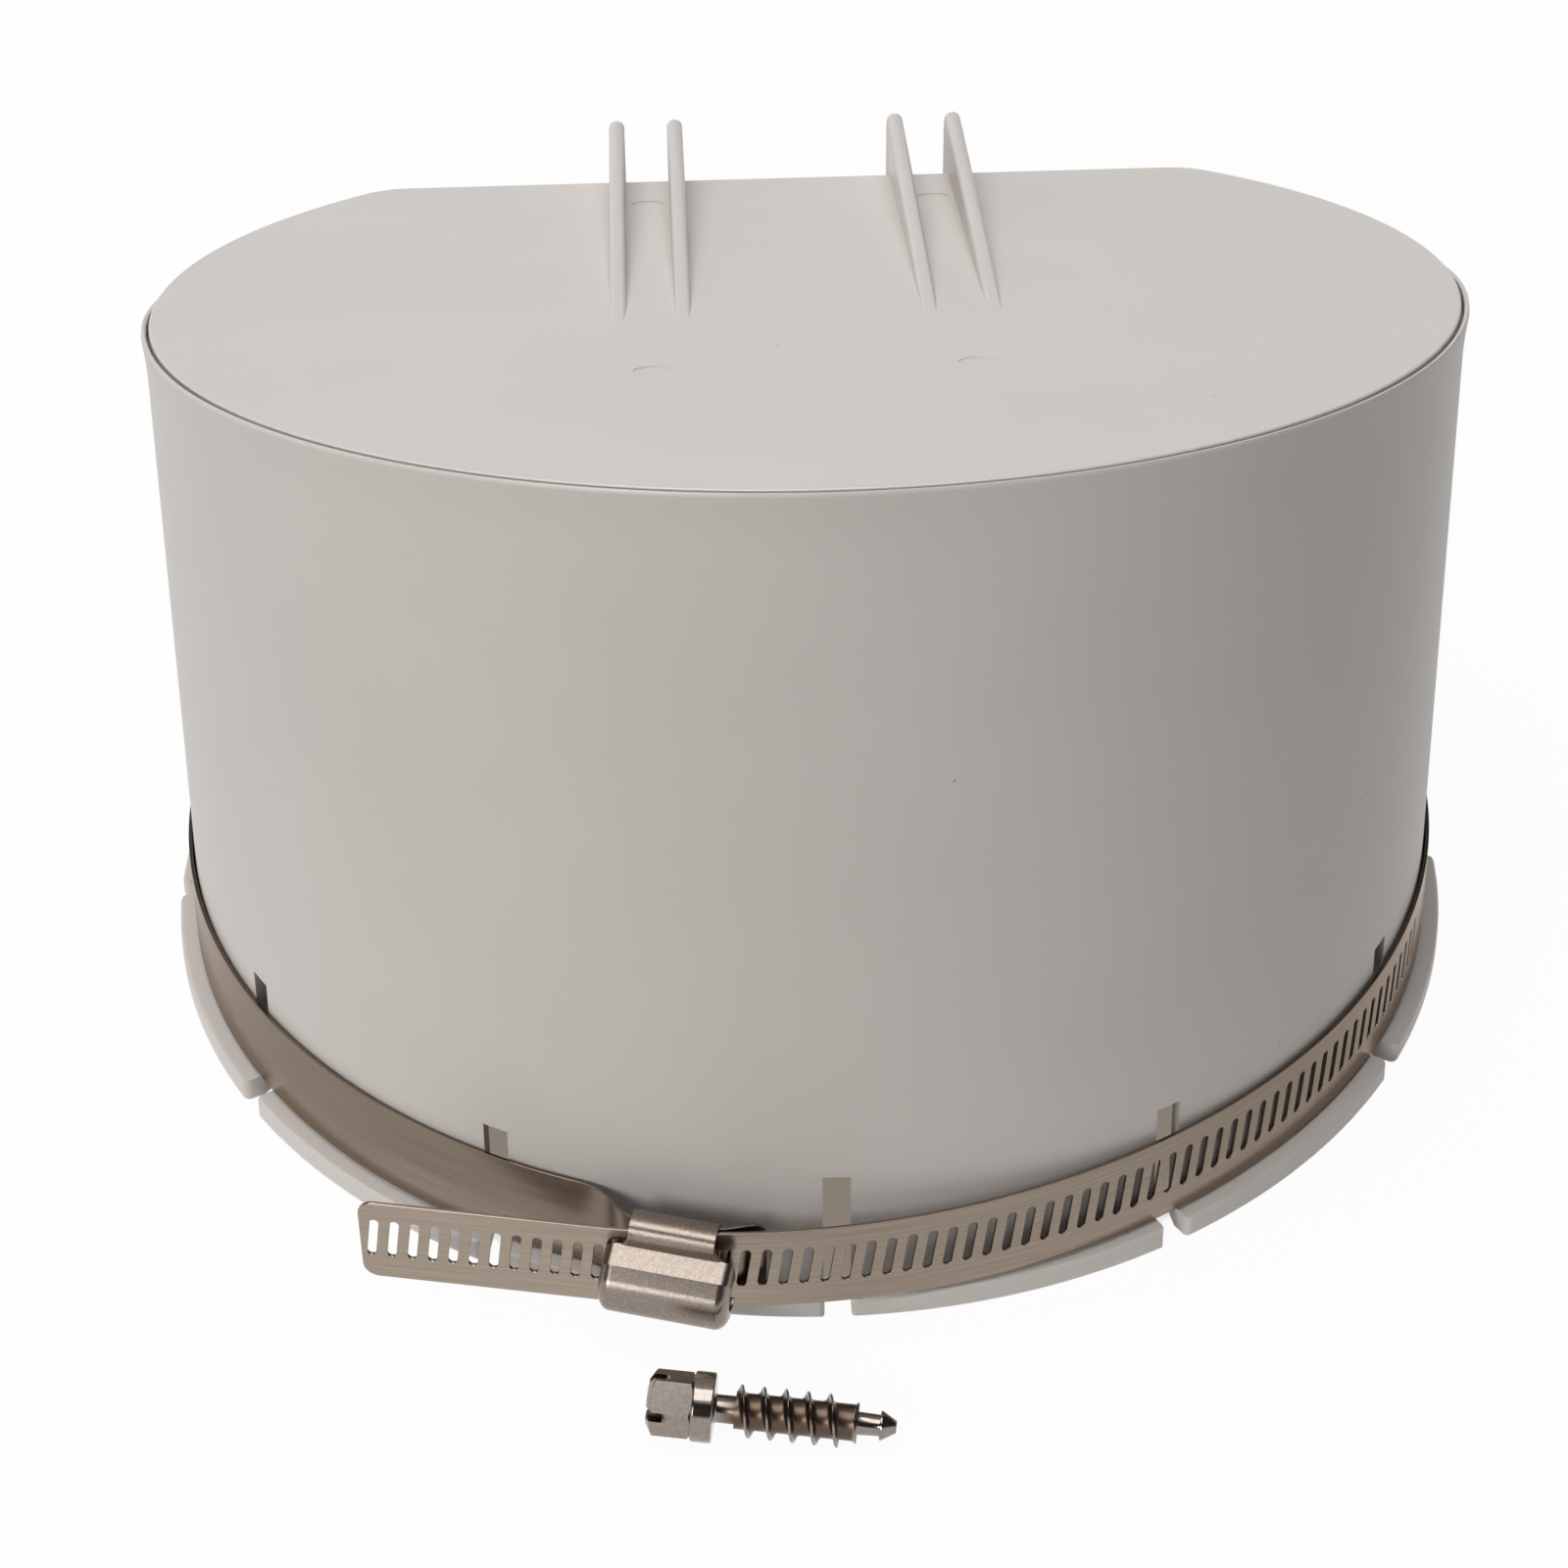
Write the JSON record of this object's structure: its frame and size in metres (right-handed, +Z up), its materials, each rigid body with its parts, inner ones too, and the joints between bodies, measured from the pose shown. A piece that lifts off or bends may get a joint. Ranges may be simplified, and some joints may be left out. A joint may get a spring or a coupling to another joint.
{
  "type": "pipe flap vent",
  "caption": "Pipe-end vent: a slotted plastic sleeve with a sloping hinged flap, held on the pipe by a steel worm-drive band clamp whose screw is taken out.",
  "frame": {"origin": "centre of the pipe socket at the foot of the sleeve", "axes": "+Z up the sleeve axis away from the pipe, -Y towards the clamp and the high front edge of the flap, +X to the right seen from the front"},
  "size_m": [0.1718, 0.1954, 0.1194],
  "materials": {
    "plastic": "fine moulded satin, off-white",
    "clamp_steel": "rolled stainless strip, satin",
    "pin_steel": "drawn wire"
  },
  "bodies": {
    "base": {"sleeve": "plastic", "hinge_pin_left": "pin_steel", "hinge_pin_right": "pin_steel", "clamp_band": "clamp_steel", "clamp_housing": "clamp_steel", "clamp_screw": "clamp_steel"},
    "flap": {"flap": "plastic"}
  },
  "joints": [
    {"name": "flap_hinge", "type": "hinge", "parent": "base", "child": "flap", "pos_m": [0, 0.065, 0.06794], "axis": [-1, 0, 0], "range_deg": [0, 178]}
  ]
}
